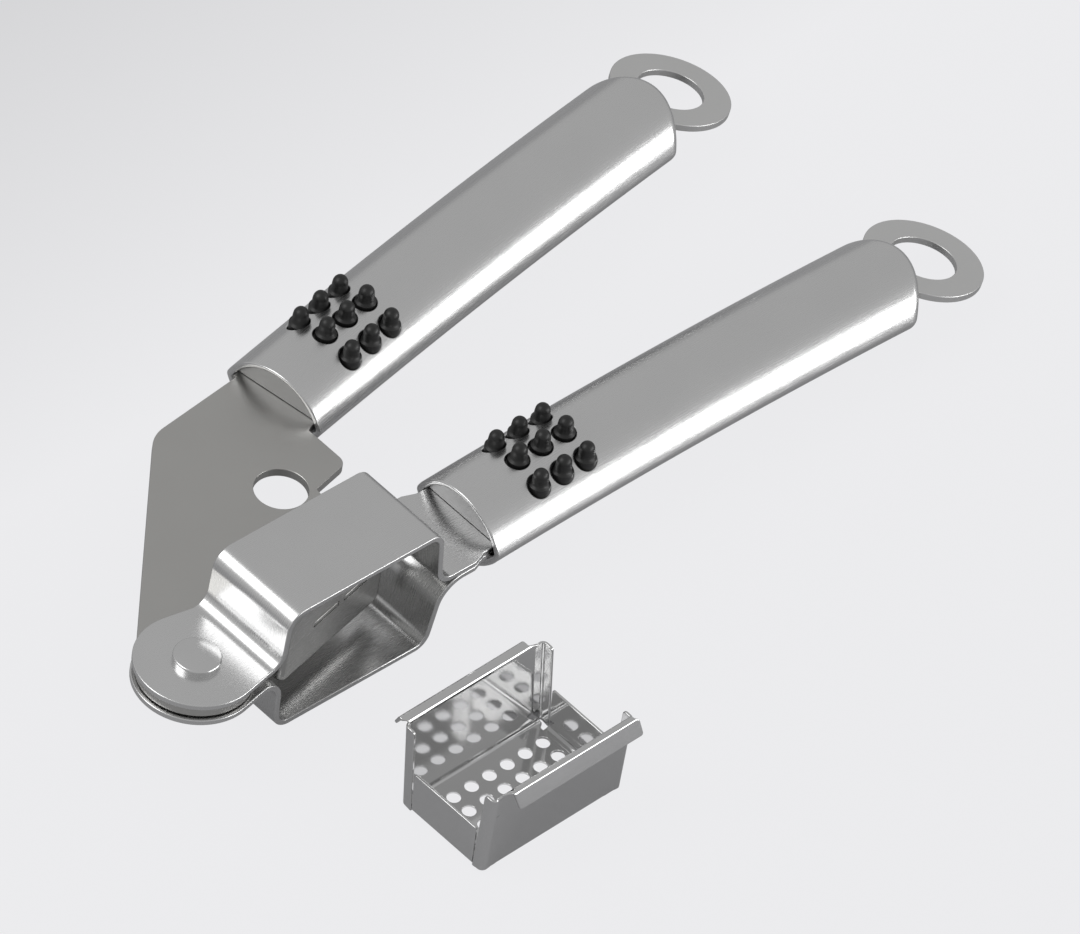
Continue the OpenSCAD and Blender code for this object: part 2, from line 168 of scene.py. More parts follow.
def sheetParts(outer, holes, stations, rows, thickness, edge, place, wrap=None, keep=None, extra=None):
    # a flat outline given thickness and rounded edges, then bent by place
    # outer and holes are loops; wrap gives the length after which the flat sheet closes on itself
    steps, clear = 4, 0.3
    closed = wrap is None
    loops = []
    for loop in ([outer] if closed else outer):
        loops.append((loop if not closed or signedArea(loop) > 0 else loop[::-1], closed))
    for loop in holes:
        loops.append((loop if signedArea(loop) < 0 else loop[::-1], True))
    inset, sides = [], []
    for loop, ends in loops:
        normal, stretch = loopNormals(loop.astype(float), ends)
        inset.append(loop - normal * stretch[:, None] * edge)
        sides.append(normal)
    grid = np.array([[s, v] for s in stations for v in rows]) if len(stations) else np.zeros((0, 2))
    if len(grid):
        if closed:
            good = insideLoop(grid, inset[0])
        else:
            good = keep(grid)
        for k, (loop, ends) in enumerate(loops):
            if closed and k == 0 or not closed and k < 2:
                continue
            good &= ~insideLoop(grid, inset[k])
        for loop in inset:
            good &= ~nearLoop(grid, loop, clear)
        grid = grid[good]
    if extra is not None:
        grid = np.vstack([grid, extra])
    flat = np.vstack(inset + [grid])
    edges, start, spans = [], 0, []
    for (loop, ends), points in zip(loops, inset):
        n = len(points)
        edges += [(start + i, start + (i + 1) % n) for i in range(n if ends else n - 1)]
        spans.append((start, n, ends))
        start += n
    made = delaunay_2d_cdt([Vector(p) for p in flat], edges, [], 0, 1e-6)
    source = [min(ids) for ids in made[3]]
    tri = np.array([[source[i] for i in f] for f in made[2] if len(f) == 3], int)
    centre = flat[tri].mean(1)
    good = insideLoop(centre, inset[0]) if closed else keep(centre)
    for k in range(1 if closed else 2, len(loops)):
        good &= ~insideLoop(centre, inset[k])
    tri = tri[good]
    a, b, c = flat[tri[:, 0]], flat[tri[:, 1]], flat[tri[:, 2]]
    area = (b[:, 0] - a[:, 0]) * (c[:, 1] - a[:, 1]) - (b[:, 1] - a[:, 1]) * (c[:, 0] - a[:, 0])
    solid = np.abs(area) > 1e-9
    tri, area = tri[solid], area[solid]
    tri[area < 0] = tri[area < 0][:, ::-1]
    count = len(flat)
    half = thickness / 2
    uvAll, depth = [flat, flat], [np.full(count, half), np.full(count, -half)]
    tilt = [np.full(count, 1.0), np.full(count, -1.0)]
    outward = [np.zeros((count, 2)), np.zeros((count, 2))]
    faces = [tri, tri[:, ::-1] + count]
    total = 2 * count
    quads = []
    for (first, n, ends), side, points in zip(spans, sides, inset):
        angles = [math.radians(90 - 90 * k / steps) for k in range(1, steps + 1)]
        angles += [math.radians(-90 * k / steps) for k in range(0, steps)]
        rings = [np.arange(first, first + n)]
        for k, angle in enumerate(angles):
            level = (half - edge) if k < steps else -(half - edge)
            out = points + side * edge * math.cos(angle)
            uvAll.append(out)
            depth.append(np.full(n, level + edge * math.sin(angle)))
            tilt.append(np.full(n, math.sin(angle)))
            outward.append(side * math.cos(angle))
            rings.append(np.arange(total, total + n))
            total += n
        rings.append(np.arange(first, first + n) + count)
        for upper, lower in zip(rings[:-1], rings[1:]):
            last = n if ends else n - 1
            i = np.arange(last)
            j = (i + 1) % n
            quads.append(np.stack([upper[i], lower[i], lower[j], upper[j]], 1))
    uvAll, outward = np.vstack(uvAll), np.vstack(outward)
    depth, tilt = np.concatenate(depth), np.concatenate(tilt)
    base, along, aside, normal = place(uvAll[:, 0], uvAll[:, 1])
    points = base + normal * depth[:, None]
    normals = normal * tilt[:, None] + along * outward[:, :1] + aside * outward[:, 1:]
    normals /= np.linalg.norm(normals, axis=1)[:, None]
    faces = [tuple(f) for block in faces for f in block] + [tuple(f) for block in quads for f in block]
    if wrap is not None:
        # the far seam's points are the near seam's points
        key, target = {}, np.arange(len(points))
        for i, p in enumerate(uvAll):
            if abs(p[1] + wrap / 2) < 1e-4:
                key[(round(p[0], 3), round(depth[i], 4))] = i
        for i, p in enumerate(uvAll):
            if abs(p[1] - wrap / 2) < 1e-4:
                target[i] = key.get((round(p[0], 3), round(depth[i], 4)), i)
        faces = [tuple(dict.fromkeys(int(target[i]) for i in f)) for f in faces]
        faces = [f for f in faces if len(f) > 2]
    return points, faces, normals, uvAll


def joined(parts):
    points, faces, normals, uv, start = [], [], [], [], 0
    for p, f, n, t in parts:
        points.append(p)
        normals.append(n)
        uv.append(t)
        faces += [tuple(int(i) + start for i in face) for face in f]
        start += len(p)
    return np.vstack(points), faces, np.vstack(normals), np.vstack(uv)


def sheetPiece(name, parts, frameOf, material, body):
    points, faces, normals, uv = joined(parts)
    turn = frameOf[0]
    newMesh(name, placed(points, frameOf), faces, normals @ turn.T, uv * 0.01, material, body)


def flatPlace(height=0.0):
    def place(s, v):
        n = len(s)
        return (np.stack([s, v, np.full(n, height)], 1), np.tile([1.0, 0, 0], (n, 1)),
                np.tile([0, 1.0, 0], (n, 1)), np.tile([0, 0, 1.0], (n, 1)))
    return place


def circle(cx, cy, radius, count=64):
    t = np.linspace(0, 2 * math.pi, count, endpoint=False)
    return np.stack([cx + radius * np.cos(t), cy + radius * np.sin(t)], 1)


def cornerArc(before, here, after, r, steps):
    # points of the arc of radius r that rounds the corner
    ua, ub = before - here, after - here
    ua, ub = ua / np.linalg.norm(ua), ub / np.linalg.norm(ub)
    half = math.acos(np.clip(ua @ ub, -1, 1)) / 2
    middle = here + (ua + ub) / np.linalg.norm(ua + ub) * r / math.sin(half)
    f, t = here + ua * r / math.tan(half) - middle, here + ub * r / math.tan(half) - middle
    a, b = math.atan2(f[1], f[0]), math.atan2(t[1], t[0])
    swing = (b - a + math.pi) % (2 * math.pi) - math.pi
    turns = [a + swing * k / steps for k in range(steps + 1)]
    return [middle + r * np.array([math.cos(turn), math.sin(turn)]) for turn in turns]


def roundedLoop(corners, radii, steps=7):
    # a polygon whose corners become arcs of the given radii
    pts, n = [], len(corners)
    corners = [np.array(c, float) for c in corners]
    for i, (here, r) in enumerate(zip(corners, radii)):
        pts += cornerArc(corners[i - 1], here, corners[(i + 1) % n], r, steps) if r > 0 else [here]
    return np.array(pts)


def denser(loop, longest):
    # extra points so that no step of the outline is longer than the given length
    out = []
    for a, b in zip(loop, np.roll(loop, -1, 0)):
        k = max(1, int(math.ceil(np.linalg.norm(b - a) / longest)))
        out += [a + (b - a) * j / k for j in range(k)]
    return np.array(out)


def atStations(loop, keys, axis=0):
    # extra points where the outline crosses the stations of a bend
    out = []
    for a, b in zip(loop, np.roll(loop, -1, 0)):
        out.append(a)
        low, high = min(a[axis], b[axis]) + 0.02, max(a[axis], b[axis]) - 0.02
        inner = [k for k in keys if low < k < high]
        if a[axis] > b[axis]:
            inner = inner[::-1]
        out += [a + (b - a) * (k - a[axis]) / (b[axis] - a[axis]) for k in inner]
    return np.array(out)


class Bend:
    # a path in two dimensions with rounded corners, looked up by the length along it
    def __init__(self, corners, radii, steps=14):
        pts, turns = [np.array(corners[0], float)], []
        corners = [np.array(c, float) for c in corners]
        for i in range(1, len(corners) - 1):
            first = len(pts)
            pts += cornerArc(corners[i - 1], corners[i], corners[i + 1], radii[i - 1], steps)
            turns.append((first, len(pts) - 1))
        pts.append(corners[-1])
        self.points = np.array(pts)
        step = np.diff(self.points, axis=0)
        self.s = np.concatenate([[0], np.cumsum(np.linalg.norm(step, axis=1))])
        tangent = np.zeros_like(self.points)
        step /= np.linalg.norm(step, axis=1)[:, None]
        tangent[1:-1] = step[1:] + step[:-1]
        tangent[0], tangent[-1] = step[0], step[-1]
        for first, last in turns:
            tangent[first] = step[first - 1]
            tangent[last] = step[last]
        self.tangent = tangent / np.linalg.norm(tangent, axis=1)[:, None]
        self.length = self.s[-1]
        self.bends = [(self.s[a], self.s[b]) for a, b in turns]

    def at(self, s):
        p = np.stack([np.interp(s, self.s, self.points[:, k]) for k in (0, 1)], 1)
        t = np.stack([np.interp(s, self.s, self.tangent[:, k]) for k in (0, 1)], 1)
        return p, t / np.linalg.norm(t, axis=1)[:, None]

    def stations(self, fine):
        out = []
        for a, b in self.bends:
            out += list(np.linspace(a, b, max(4, int((b - a) / fine) + 1)))
        return out


def steelMaterial(name, colour, rough, grain, scratch=0.25):
    # brushed sheet: long fine grain along the sheet's own first direction, cloudy tone
    tint = 0.04
    mat = bpy.data.materials.new(name)
    mat.use_nodes = True
    nodes, links = mat.node_tree.nodes, mat.node_tree.links
    shader = nodes["Principled BSDF"]
    shader.inputs["Metallic"].default_value = 1.0
    uv = nodes.new("ShaderNodeUVMap")
    uv.uv_map = "sheet"
    scale = nodes.new("ShaderNodeMapping")
    scale.inputs["Scale"].default_value = (6, 260, 1)
    links.new(uv.outputs["UV"], scale.inputs["Vector"])
    fine = nodes.new("ShaderNodeTexNoise")
    fine.inputs["Scale"].default_value = 3.0
    fine.inputs["Detail"].default_value = 4.0
    fine.inputs["Roughness"].default_value = 0.65
    links.new(scale.outputs["Vector"], fine.inputs["Vector"])
    where = nodes.new("ShaderNodeTexCoord")
    cloud = nodes.new("ShaderNodeTexNoise")
    cloud.inputs["Scale"].default_value = 55.0
    cloud.inputs["Detail"].default_value = 3.0
    links.new(where.outputs["Object"], cloud.inputs["Vector"])
    mixed = nodes.new("ShaderNodeMix")
    mixed.data_type = "RGBA"
    mixed.inputs["A"].default_value = tuple(c * (1 - tint) for c in colour) + (1,)
    mixed.inputs["B"].default_value = tuple(min(1, c * (1 + tint)) for c in colour) + (1,)
    links.new(cloud.outputs["Fac"], mixed.inputs["Factor"])
    links.new(mixed.outputs["Result"], shader.inputs["Base Color"])
    spread = nodes.new("ShaderNodeMapRange")
    spread.inputs["From Min"].default_value = 0.3
    spread.inputs["From Max"].default_value = 0.7
    spread.inputs["To Min"].default_value = max(0.02, rough - grain)
    spread.inputs["To Max"].default_value = rough + grain
    links.new(fine.outputs["Fac"], spread.inputs["Value"])
    links.new(spread.outputs["Result"], shader.inputs["Roughness"])
    bump = nodes.new("ShaderNodeBump")
    bump.inputs["Strength"].default_value = scratch
    bump.inputs["Distance"].default_value = 0.00002
    links.new(fine.outputs["Fac"], bump.inputs["Height"])
    links.new(bump.outputs["Normal"], shader.inputs["Normal"])
    return mat


def plainMaterial(name, colour, rough):
    # moulded stuff: fine speckle in its shine and surface
    mat = bpy.data.materials.new(name)
    mat.use_nodes = True
    nodes, links = mat.node_tree.nodes, mat.node_tree.links
    shader = nodes["Principled BSDF"]
    shader.inputs["Base Color"].default_value = (*colour, 1)
    where = nodes.new("ShaderNodeTexCoord")
    speck = nodes.new("ShaderNodeTexNoise")
    speck.inputs["Scale"].default_value = 900
    speck.inputs["Detail"].default_value = 3
    links.new(where.outputs["Object"], speck.inputs["Vector"])
    spread = nodes.new("ShaderNodeMapRange")
    spread.inputs["To Min"].default_value = rough - 0.08
    spread.inputs["To Max"].default_value = rough + 0.08
    links.new(speck.outputs["Fac"], spread.inputs["Value"])
    links.new(spread.outputs["Result"], shader.inputs["Roughness"])
    bump = nodes.new("ShaderNodeBump")
    bump.inputs["Strength"].default_value = 0.4
    bump.inputs["Distance"].default_value = 0.00003
    links.new(speck.outputs["Fac"], bump.inputs["Height"])
    links.new(bump.outputs["Normal"], shader.inputs["Normal"])
    return mat


strapSteel = steelMaterial("strapSteel", (0.68, 0.68, 0.68), 0.26, 0.05, scratch=0.12)
plateSteel = steelMaterial("plateSteel", (0.52, 0.515, 0.5), 0.34, 0.06, scratch=0.2)
footSteel = steelMaterial("footSteel", (0.56, 0.56, 0.55), 0.24, 0.05, scratch=0.12)
handleSteel = steelMaterial("handleSteel", (0.68, 0.68, 0.68), 0.25, 0.06, scratch=0.35)
capSteel = steelMaterial("capSteel", (0.3, 0.3, 0.3), 0.42, 0.05)
ringSteel = steelMaterial("ringSteel", (0.7, 0.7, 0.695), 0.36, 0.05)
rivetSteel = steelMaterial("rivetSteel", (0.66, 0.66, 0.66), 0.24, 0.05)
basketSteel = steelMaterial("basketSteel", (0.66, 0.66, 0.66), 0.08, 0.02, scratch=0.04)
rubberBlack = plainMaterial("rubberBlack", (0.012, 0.012, 0.012), 0.42)
fillerBlack = plainMaterial("fillerBlack", (0.02, 0.02, 0.02), 0.6)
print("materials ready")


basket = {"length": 36.0, "width": 23.1, "height": 22.2, "sheet": 0.6, "flare": 1.5, "shortWall": 10.6,
          "hole": 1.4, "pitchX": 4.6, "pitchY": 4.4, "post": 2.6, "lipOut": 3.2,
          "lipFlat": {1: 1.5, -1: 0.8}, "lipDrop": {1: 2.3, -1: 3.4}, "lipCut": 3.6, "lipPast": 1.0,
          "fold": 1.2, "edge": 0.16, "lap": 0.01, "slit": 0.5}


def makeBasket():
    low, high = (np.array(c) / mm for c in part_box("sieve_basket"))
    centre = np.array([(low[0] + high[0]) / 2, (low[1] + high[1]) / 2, 0.0])
    length, width, height, sheet = basket["length"], basket["width"], basket["height"], basket["sheet"]
    wall, flare, top = width / 2 - sheet / 2, basket["flare"], height - sheet / 2
    out = wall + flare
    near, far = ([(out, top), (out + basket["lipFlat"][k], top),
                  (out + basket["lipOut"] - sheet, top - basket["lipDrop"][k])] for k in (-1, 1))
    corners = [(-y, z) for y, z in near[::-1]] + [(-wall, sheet / 2), (wall, sheet / 2)] + far
    path = Bend(corners, [0.5, 0.4, basket["fold"], basket["fold"], 1.1, 0.5], 10)
    half = path.length / 2
    # the sheet lies flat as u along the basket and w along the folded path
    wallEnd = [sum(path.bends[k]) / 2 - half for k in (1, 4)]
    end, floorEnd, floorHalf = length / 2 - 0.9, length / 2 - 2.0, wall - basket["fold"]
    cut, past = basket["lipCut"], basket["lipPast"]
    side = [(-end - past, half), (-end - past, wallEnd[1] + 0.5), (-end, wallEnd[1] - 0.2),
            (-end, floorHalf + 0.5), (-floorEnd, floorHalf - 0.3), (-floorEnd, 0.3 - floorHalf),
            (-end, -floorHalf - 0.5), (-end, wallEnd[0] + 0.2), (-end + cut - 0.4, wallEnd[0] - 0.9),
            (-end + cut, -half)]
    radii = [0.6, 0.3, 0.3, 0.3, 0, 0, 0.3, 0.3, 0.4, 0.6]
    loop = roundedLoop(side + [(-u, -w) for u, w in side], radii * 2, 4)
    keys = sorted(s - half for s in path.stations(0.12))
    loop = atStations(loop, keys, axis=1)
    columns, rows = int((length - 6) / basket["pitchX"]) + 1, int((width - 7) / basket["pitchY"]) + 1
    xs = [(i - (columns - 1) / 2) * basket["pitchX"] for i in range(columns)]
    ys = [(j - (rows - 1) / 2) * basket["pitchY"] for j in range(rows)]
    holes = [circle(x, y, basket["hole"], 30) for x in xs for y in ys]

    def place(s, v):
        p, t = path.at(v + half)
        n = len(s)
        base = np.stack([s, p[:, 0], p[:, 1]], 1)
        along = np.tile([1.0, 0, 0], (n, 1))
        aside = np.stack([np.zeros(n), t[:, 0], t[:, 1]], 1)
        return base, along, aside, np.cross(along, aside)

    us = np.linspace(-end + 1, end - 1, 10)
    parts = [sheetParts(loop, holes, us, keys, sheet, basket["edge"], place)]
    # low end walls, bent up from the floor with a small fold
    foldIn = 2.2
    for sign in (-1, 1):
        base = sheet / 2 + basket["lap"]
        rise = Bend([(0, base), (foldIn, base), (foldIn, basket["shortWall"])], [basket["fold"]], 8)
        across = wall - basket["post"] - 0.1
        spread = across + flare * basket["shortWall"] / height - basket["slit"]
        keys = rise.stations(0.15)
        edge = [(0.3, -across), (rise.length, -spread), (rise.length, spread), (0.3, across)]
        loop = atStations(roundedLoop(edge, [0, 0.4, 0.4, 0], 3), keys)
        start = length / 2 - sheet / 2 - foldIn

        def placeEnd(s, v, sign=sign, rise=rise, start=start):
            p, t = rise.at(s)
            n = len(s)
            base = np.stack([sign * (start + p[:, 0]), sign * v, p[:, 1]], 1)
            along = np.stack([sign * t[:, 0], np.zeros(n), t[:, 1]], 1)
            aside = np.tile([0, 1.0 * sign, 0], (n, 1))
            return base, along, aside, np.cross(along, aside)

        rows = np.linspace(-across + 1, across - 1, 6)
        parts.append(sheetParts(loop, [], keys, rows, sheet, basket["edge"], placeEnd))
    # corner posts: the long walls' ends folded round, leaning with the walls
    lean = math.atan2(flare, height)
    fold, tall = Bend([(-1.8, 0), (0, 0), (0, -basket["post"])], [0.9], 8), height - 1.1
    keys, rows = fold.stations(0.15), np.linspace(2, tall - 2, 5)
    loop = roundedLoop([(0, 0.9), (fold.length, 0.25), (fold.length, tall), (0, tall)], [0, 0.3, 0.8, 0], 4)
    loop = atStations(loop, keys)
    for sx, sy in ((-1, -1), (-1, 1), (1, -1), (1, 1)):
        def placePost(s, v, sx=sx, sy=sy):
            p, t = fold.at(s)
            n = len(s)
            y = wall + basket["lap"] + flare * v / height + p[:, 1]
            base = np.stack([sx * (length / 2 - sheet / 2 + p[:, 0]), sy * y, v], 1)
            along = np.stack([sx * t[:, 0], sy * t[:, 1], np.zeros(n)], 1)
            aside = np.tile([0, sy * math.sin(lean), math.cos(lean)], (n, 1))
            normal = np.cross(along, aside)
            normal /= np.linalg.norm(normal, axis=1)[:, None]
            return base, along, aside, normal

        parts.append(sheetParts(loop, [], keys, rows, sheet, basket["edge"], placePost))
    sheetPiece("sieve_basket", parts, (np.eye(3), centre - pivot), basketSteel, "basket")


makeBasket()
print("basket ready")


strap = {"width": 21.8, "sheet": 1.3, "height": 30.8, "near": 12.1, "length": 40.2,
         "farRun": {1: 1.6, -1: 2.8}, "farBend": {1: 3.6, -1: 6.4}, "neckBend": 4.2, "topBend": 3.7,
         "lean": 0.3, "eye": 12.4, "neck": 9.0, "bend": 3.1, "edge": 0.28, "tang": 19.6, "inner": 14.0,
         "tangLength": 26.0}
rivet = {"shank": 3.0, "head": 4.8, "height": 2.0, "round": 0.45, "dome": 0.55}
running = 0.05  # between the rivet, the washers and what turns on them
washer = 0.3
stackTop = 1 + running + washer  # half the plate, then the washer


def strapPath(sign):
    sheet = strap["sheet"]
    eyeZ, flatZ, tangZ = stackTop + sheet / 2, strap["height"] / 2 - sheet / 2, sheet / 2
    near, far = strap["near"] + sheet / 2, strap["near"] + strap["length"] - sheet / 2
    end = press["fixedFront"] + strap["tangLength"]
    run, sweep = strap["farRun"][sign], strap["farBend"][sign]
    corners = [(-strap["eye"], eyeZ), (near - strap["lean"], eyeZ), (near + strap["lean"], flatZ),
               (far, flatZ), (far + run, tangZ), (end, tangZ)]
    radii = [strap["neckBend"], strap["topBend"], strap["bend"], sweep]
    return Bend([(u, sign * z) for u, z in corners], radii)


def makeStrap(name, sign):
    path = strapPath(sign)
    end = press["fixedFront"] + strap["tangLength"]
    side, tuck = strap["width"] / 2, strap["tang"] / 2

    def lengthAt(u):
        return path.length - (end - u)

    eye = strap["eye"]
    touch = math.acos(eye / math.hypot(strap["neck"], side)) + math.atan2(side, strap["neck"])
    arc = np.linspace(touch, 2 * math.pi - touch, 56)
    eyeArc = np.stack([eye + eye * np.cos(arc), eye * np.sin(arc)], 1)
    step = press["fixedFront"] + 2.2
    tangFrom = press["fixedFront"] - 2
    lower = [(eye + strap["neck"], -side), (lengthAt(tangFrom - 3), -side), (lengthAt(tangFrom), -tuck),
             (lengthAt(step), -tuck), (lengthAt(step), -strap["inner"] / 2),
             (lengthAt(end), -strap["inner"] / 2)]
    neck = roundedLoop([tuple(eyeArc[-1])] + lower[:4], [0, 4.0, 1.2, 1.2, 0])[1:-1]
    half = np.vstack([eyeArc, neck, lower[3:]])
    upper = half[len(eyeArc):][::-1] * [1, -1]
    outline = np.vstack([half, upper])
    keys = sorted(path.stations(0.28))
    outline = atStations(outline, keys)
    hole = circle(eye, 0, rivet["shank"] + running, 40)

    def place(s, v):
        p, t = path.at(s)
        n = len(s)
        base = np.stack([p[:, 0], v, p[:, 1]], 1)
        along = np.stack([t[:, 0], np.zeros(n), t[:, 1]], 1)
        aside = np.tile([0, 1.0, 0], (n, 1))
        return base, along, aside, np.cross(along, aside)

    rows = np.linspace(-side + 0.9, side - 0.9, 9)
    part = sheetParts(outline, [hole], keys, rows, strap["sheet"], strap["edge"], place)
    sheetPiece(name, [part], fixedRoot, strapSteel, "fixed_arm")


makeStrap("hopper_upper_strap", 1)
makeStrap("hopper_lower_strap", -1)
print("straps ready")


def turned(profile, count, centre=(0, 0, 0), turn=None):
    # a profile of (radius, height, normal) stations spun about Z
    n = len(profile)
    t = np.linspace(0, 2 * math.pi, count, endpoint=False)
    pts, normals, uv = [], [], []
    for r, z, nr, nz in profile:
        pts.append(np.stack([r * np.cos(t), r * np.sin(t), np.full(count, z)], 1))
        normals.append(np.stack([nr * np.cos(t), nr * np.sin(t), np.full(count, nz)], 1))
        uv.append(np.stack([t * 3, np.full(count, r + z)], 1))
    pts, normals, uv = np.vstack(pts), np.vstack(normals), np.vstack(uv)
    if turn is not None:
        pts, normals = pts @ turn.T, normals @ turn.T
    faces = []
    for k in range(n - 1):
        for i in range(count):
            j = (i + 1) % count
            faces.append((k * count + i, k * count + j, (k + 1) * count + j, (k + 1) * count + i))
    faces.append(tuple(range((n - 1) * count, n * count)))
    faces.append(tuple(range(count))[::-1])
    return pts + np.array(centre), faces, normals, uv


def headProfile(radius, height, base, rounding, dome):
    # upright side, rounded rim, then a shallow dome
    prof = [(radius, base, 1, 0), (radius, base + height - dome - rounding, 1, 0)]
    for a in np.linspace(0, 80, 6)[1:]:
        c, s = math.cos(math.radians(a)), math.sin(math.radians(a))
        prof.append((radius - rounding + rounding * c, base + height - dome - rounding + rounding * s, c, s))
    inner = radius - rounding
    big = (inner * inner + dome * dome) / (2 * dome)
    for r in np.linspace(inner, 0.05, 12):
        z = base + height - big + math.sqrt(big * big - r * r)
        prof.append((r, z, r / big, math.sqrt(1 - (r / big) ** 2)))
    return prof


def makeRivet():
    top = stackTop + strap["sheet"]
    upper = turned([(rivet["shank"], 0, 1, 0), (rivet["shank"], top, 1, 0)], 48)
    lower = turned([(rivet["shank"], -top, 1, 0), (rivet["shank"], 0, 1, 0)], 48)
    profile = headProfile(rivet["head"], rivet["height"], top, rivet["round"], rivet["dome"])
    head, under = turned(profile, 72), turned(profile, 72, turn=np.diag([1.0, -1.0, -1.0]))
    sheetPiece("pivot_rivet", [upper, lower, head, under], fixedRoot, rivetSteel, "fixed_arm")


def makeWasher(name, sign):
    outer, inner = rivet["head"] + 0.8, rivet["shank"] + running
    place = flatPlace(sign * (1 + running + washer / 2))
    part = sheetParts(circle(0, 0, outer, 72), [circle(0, 0, inner, 48)], [], [], washer, 0.08, place)
    sheetPiece(name, [part], fixedRoot, rivetSteel, "fixed_arm")


makeRivet()
makeWasher("pivot_washer_upper", 1)
makeWasher("pivot_washer_lower", -1)


plate = {"shoulder": 2.0, "sheet": 2.0, "edge": 0.22, "boss": 11.6, "slope": 33.4, "top": 9.2,
         "holeRadius": 5.4}
foot = {"near": 15.9, "length": 32.3, "width": 20.0, "drop": 9.8, "sheet": 0.9, "rim": 2.1, "bend": 1.3,
        "slots": (9.3, 19.1), "slotLength": 7.8}


def toeTurn(p):
    a = math.radians(press["toe"])
    return np.array([p[0] * math.cos(a) + p[1] * math.sin(a), p[1] * math.cos(a) - p[0] * math.sin(a)])


def makePlate():
    boss = plate["boss"]
    slope = math.radians(plate["slope"])
    edgeDir = np.array([math.cos(slope), math.sin(slope)])
    tangent = boss * np.array([-edgeDir[1], edgeDir[0]])
    front = press["pressFront"] - 0.6
    top = toeTurn((front, press["pressOffset"] + plate["top"]))
    run = (top[1] + (top[0] - 24) * math.tan(math.radians(press["toe"])) - tangent[1]) / edgeDir[1]
    outer = tangent + edgeDir * run
    low = toeTurn((front - 1, press["pressOffset"] - plate["top"] - 1))
    plateEdge = strap["width"] / 2 + 0.3
    shoulder = strap["near"] + strap["length"] + plate["shoulder"]
    footBack = -foot["drop"] + 1.5
    notch = basket["shortWall"] - strap["width"] / 2 + 1.2
    tuck, inner, off = strap["tang"] / 2, strap["inner"] / 2, press["pressOffset"]
    step, end = press["pressFront"] + 2.2, press["pressFront"] + strap["tangLength"]
    corners = [tuple(tangent), tuple(outer), tuple(top)]
    radii = [0, 8, 0]
    for p in [(front, tuck), (step, tuck), (step, inner), (end, inner),
              (end, -inner), (step, -inner), (step, -tuck), (front, -tuck)]:
        corners.append(tuple(toeTurn((p[0], off + p[1]))))
        radii.append(0)
    corners += [tuple(low), (low[0] - 2.2, plateEdge), (shoulder, plateEdge),
                (foot["near"] + foot["length"] - 0.4, footBack), (foot["near"], footBack),
                (foot["near"], notch), (math.sqrt(boss * boss - notch * notch), notch)]
    radii += [0.3, 2.4, 0.6, 0, 0, 1.0, 0]
    loop = roundedLoop(corners, radii, 8)
    a0, a1 = math.atan2(notch, math.sqrt(boss * boss - notch * notch)), math.atan2(tangent[1], tangent[0])
    arc = np.linspace(a0, a1 - 2 * math.pi, 70)[1:-1]
    loop = np.vstack([loop, np.stack([boss * np.cos(arc), boss * np.sin(arc)], 1)])
    hole = circle(shoulder - 4.7, plateEdge + 5.1, plate["holeRadius"], 72)
    bore = circle(0, 0, rivet["shank"] + running, 40)
    parts = [sheetParts(loop, [hole, bore], [], [], plate["sheet"], plate["edge"], flatPlace())]
    for start in foot["slots"]:
        x = foot["near"] + start
        tenon = roundedLoop([(x, -foot["drop"] - 0.02), (x + foot["slotLength"], -foot["drop"] - 0.02),
                             (x + foot["slotLength"], footBack + 1), (x, footBack + 1)], [0.3, 0.3, 0, 0], 3)
        parts.append(sheetParts(tenon, [], [], [], plate["sheet"] * 0.55, 0.15, flatPlace()))
    sheetPiece("press_plate", parts, movingRoot, plateSteel, "press_arm")


